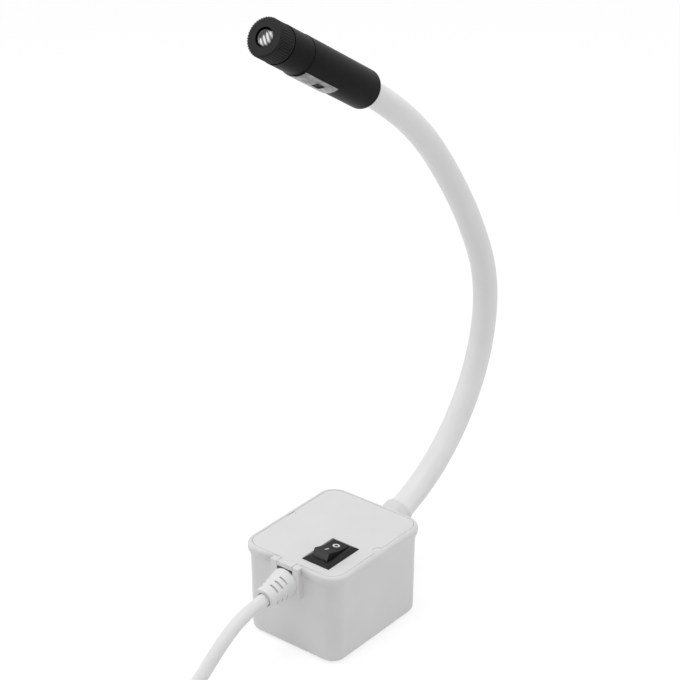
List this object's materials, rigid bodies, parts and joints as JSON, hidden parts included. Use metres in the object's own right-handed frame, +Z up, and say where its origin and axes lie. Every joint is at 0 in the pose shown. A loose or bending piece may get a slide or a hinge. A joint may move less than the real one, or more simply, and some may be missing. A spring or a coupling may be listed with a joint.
{
  "type": "sewing machine lamp",
  "caption": "Magnetic lamp for a sewing machine: switch box base, white bendable neck, slim black focusing head and mains cord with plug.",
  "frame": {"origin": "centre of the base's bottom face", "axes": "+Z up; +X from the wall with the cord to the wall with the neck; +Y completes the frame"},
  "size_m": [0.3756, 0.0671, 0.2888],
  "materials": {
    "white_abs": "fine satin moulding",
    "white_pvc": "satin soft PVC",
    "black_switch": "semi-gloss moulding",
    "mark_white": "printed",
    "black_alloy": "matt black anodised aluminium",
    "plate_silver": "brushed",
    "bare_alloy": "turned",
    "bare_steel": "zinc plated",
    "magnet": "sintered",
    "board": "glass-fibre board",
    "part_yellow": "polyester tape",
    "part_dark": "shrunk sleeve",
    "brass": "tinned brass",
    "wire": "insulation",
    "ring_rubber": "matt",
    "led": "phosphor",
    "lens_clear": "clear moulded lens"
  },
  "bodies": {
    "base": {"base_tub": "white_abs", "base_lid": "white_abs", "base_magnets": "magnet", "magnet_plate": "bare_steel", "plate_screws": "bare_steel", "switch_housing": "black_switch", "switch_terminals": "brass", "driver_board": "board", "driver_transformer": "part_yellow", "driver_capacitor": "part_dark", "driver_chip": "part_dark", "board_screws": "bare_steel", "cord_gland": "white_pvc", "mains_wires": "wire", "lamp_wires": "wire", "neck_washer": "bare_steel", "neck_nut": "bare_steel", "neck_sleeve_root": "white_pvc", "neck_core_root": "bare_steel", "cord_lead": "white_pvc", "cord_coil": "white_pvc", "cord_tail": "white_pvc", "cord_tie": "part_dark", "plug_body": "white_pvc", "plug_pins": "brass"},
    "rocker": {"switch_rocker": "black_switch", "rocker_marks": "mark_white"},
    "neck_1": {"neck_sleeve_1": "white_pvc", "neck_core_1": "bare_steel"},
    "neck_2": {"neck_sleeve_2": "white_pvc", "neck_core_2": "bare_steel"},
    "neck_3": {"neck_sleeve_3": "white_pvc", "neck_core_3": "bare_steel"},
    "neck_4": {"neck_sleeve_4": "white_pvc", "neck_core_4": "bare_steel"},
    "neck_5": {"neck_sleeve_5": "white_pvc", "neck_core_5": "bare_steel"},
    "neck_6": {"neck_sleeve_6": "white_pvc", "neck_core_6": "bare_steel"},
    "neck_7": {"neck_sleeve_7": "white_pvc", "neck_core_7": "bare_steel"},
    "head": {"neck_sleeve_8": "white_pvc", "neck_core_8": "bare_steel", "tip_ring": "bare_alloy", "tip_nut": "bare_steel", "head_barrel": "black_alloy", "head_plate": "plate_silver", "heat_sink": "bare_alloy", "led_board": "bare_alloy", "led_chip": "led", "head_wires": "wire", "front_tube": "black_alloy", "o_ring": "ring_rubber"},
    "bezel": {"focus_bezel": "black_alloy"},
    "lens_unit": {"lens_carrier": "black_switch", "lens": "lens_clear"}
  },
  "joints": [
    {"name": "rocker_tilt", "type": "hinge", "parent": "base", "child": "rocker", "pos_m": [-0.015, -0.0105, 0.0445], "axis": [0, -1, 0], "range_deg": [0, 25]},
    {"name": "neck_bend_1", "type": "hinge", "parent": "base", "child": "neck_1", "pos_m": [0.04999, 0, 0.03399], "axis": [0, -1, 0], "range_deg": [-25, 14]},
    {"name": "neck_sway_2", "type": "hinge", "parent": "neck_1", "child": "neck_2", "pos_m": [0.07954, 0, 0.05037], "axis": [-0.6428, 0, 0.766], "range_deg": [-20, 20]},
    {"name": "neck_bend_3", "type": "hinge", "parent": "neck_2", "child": "neck_3", "pos_m": [0.10105, 0, 0.07646], "axis": [0, -1, 0], "range_deg": [-25, 14]},
    {"name": "neck_sway_4", "type": "hinge", "parent": "neck_3", "child": "neck_4", "pos_m": [0.11091, 0, 0.10874], "axis": [-0.9962, 0, 0.0872], "range_deg": [-20, 20]},
    {"name": "neck_bend_5", "type": "hinge", "parent": "neck_4", "child": "neck_5", "pos_m": [0.10565, 0, 0.14198], "axis": [0, -1, 0], "range_deg": [-25, 14]},
    {"name": "neck_sway_6", "type": "hinge", "parent": "neck_5", "child": "neck_6", "pos_m": [0.08997, 0, 0.17211], "axis": [-0.848, 0, -0.5299], "range_deg": [-20, 20]},
    {"name": "neck_bend_7", "type": "hinge", "parent": "neck_6", "child": "neck_7", "pos_m": [0.07047, 0, 0.19995], "axis": [0, -1, 0], "range_deg": [-25, 14]},
    {"name": "neck_sway_8", "type": "hinge", "parent": "neck_7", "child": "head", "pos_m": [0.0469, 0, 0.22436], "axis": [-0.6428, 0, -0.766], "range_deg": [-20, 20]},
    {"name": "focus_turn", "type": "hinge", "parent": "head", "child": "bezel", "pos_m": [-0.03745, 0, 0.27978], "axis": [-0.848, 0, 0.5299], "range_deg": [0, 180]},
    {"name": "lens_slide", "type": "slide", "parent": "head", "child": "lens_unit", "axis": [0.848, 0, -0.5299], "range_m": [0, 0.0025]}
  ],
  "couplings": [
    {"joint": "lens_slide", "follows": "focus_turn", "m_per_rad": 0.00079577}
  ]
}
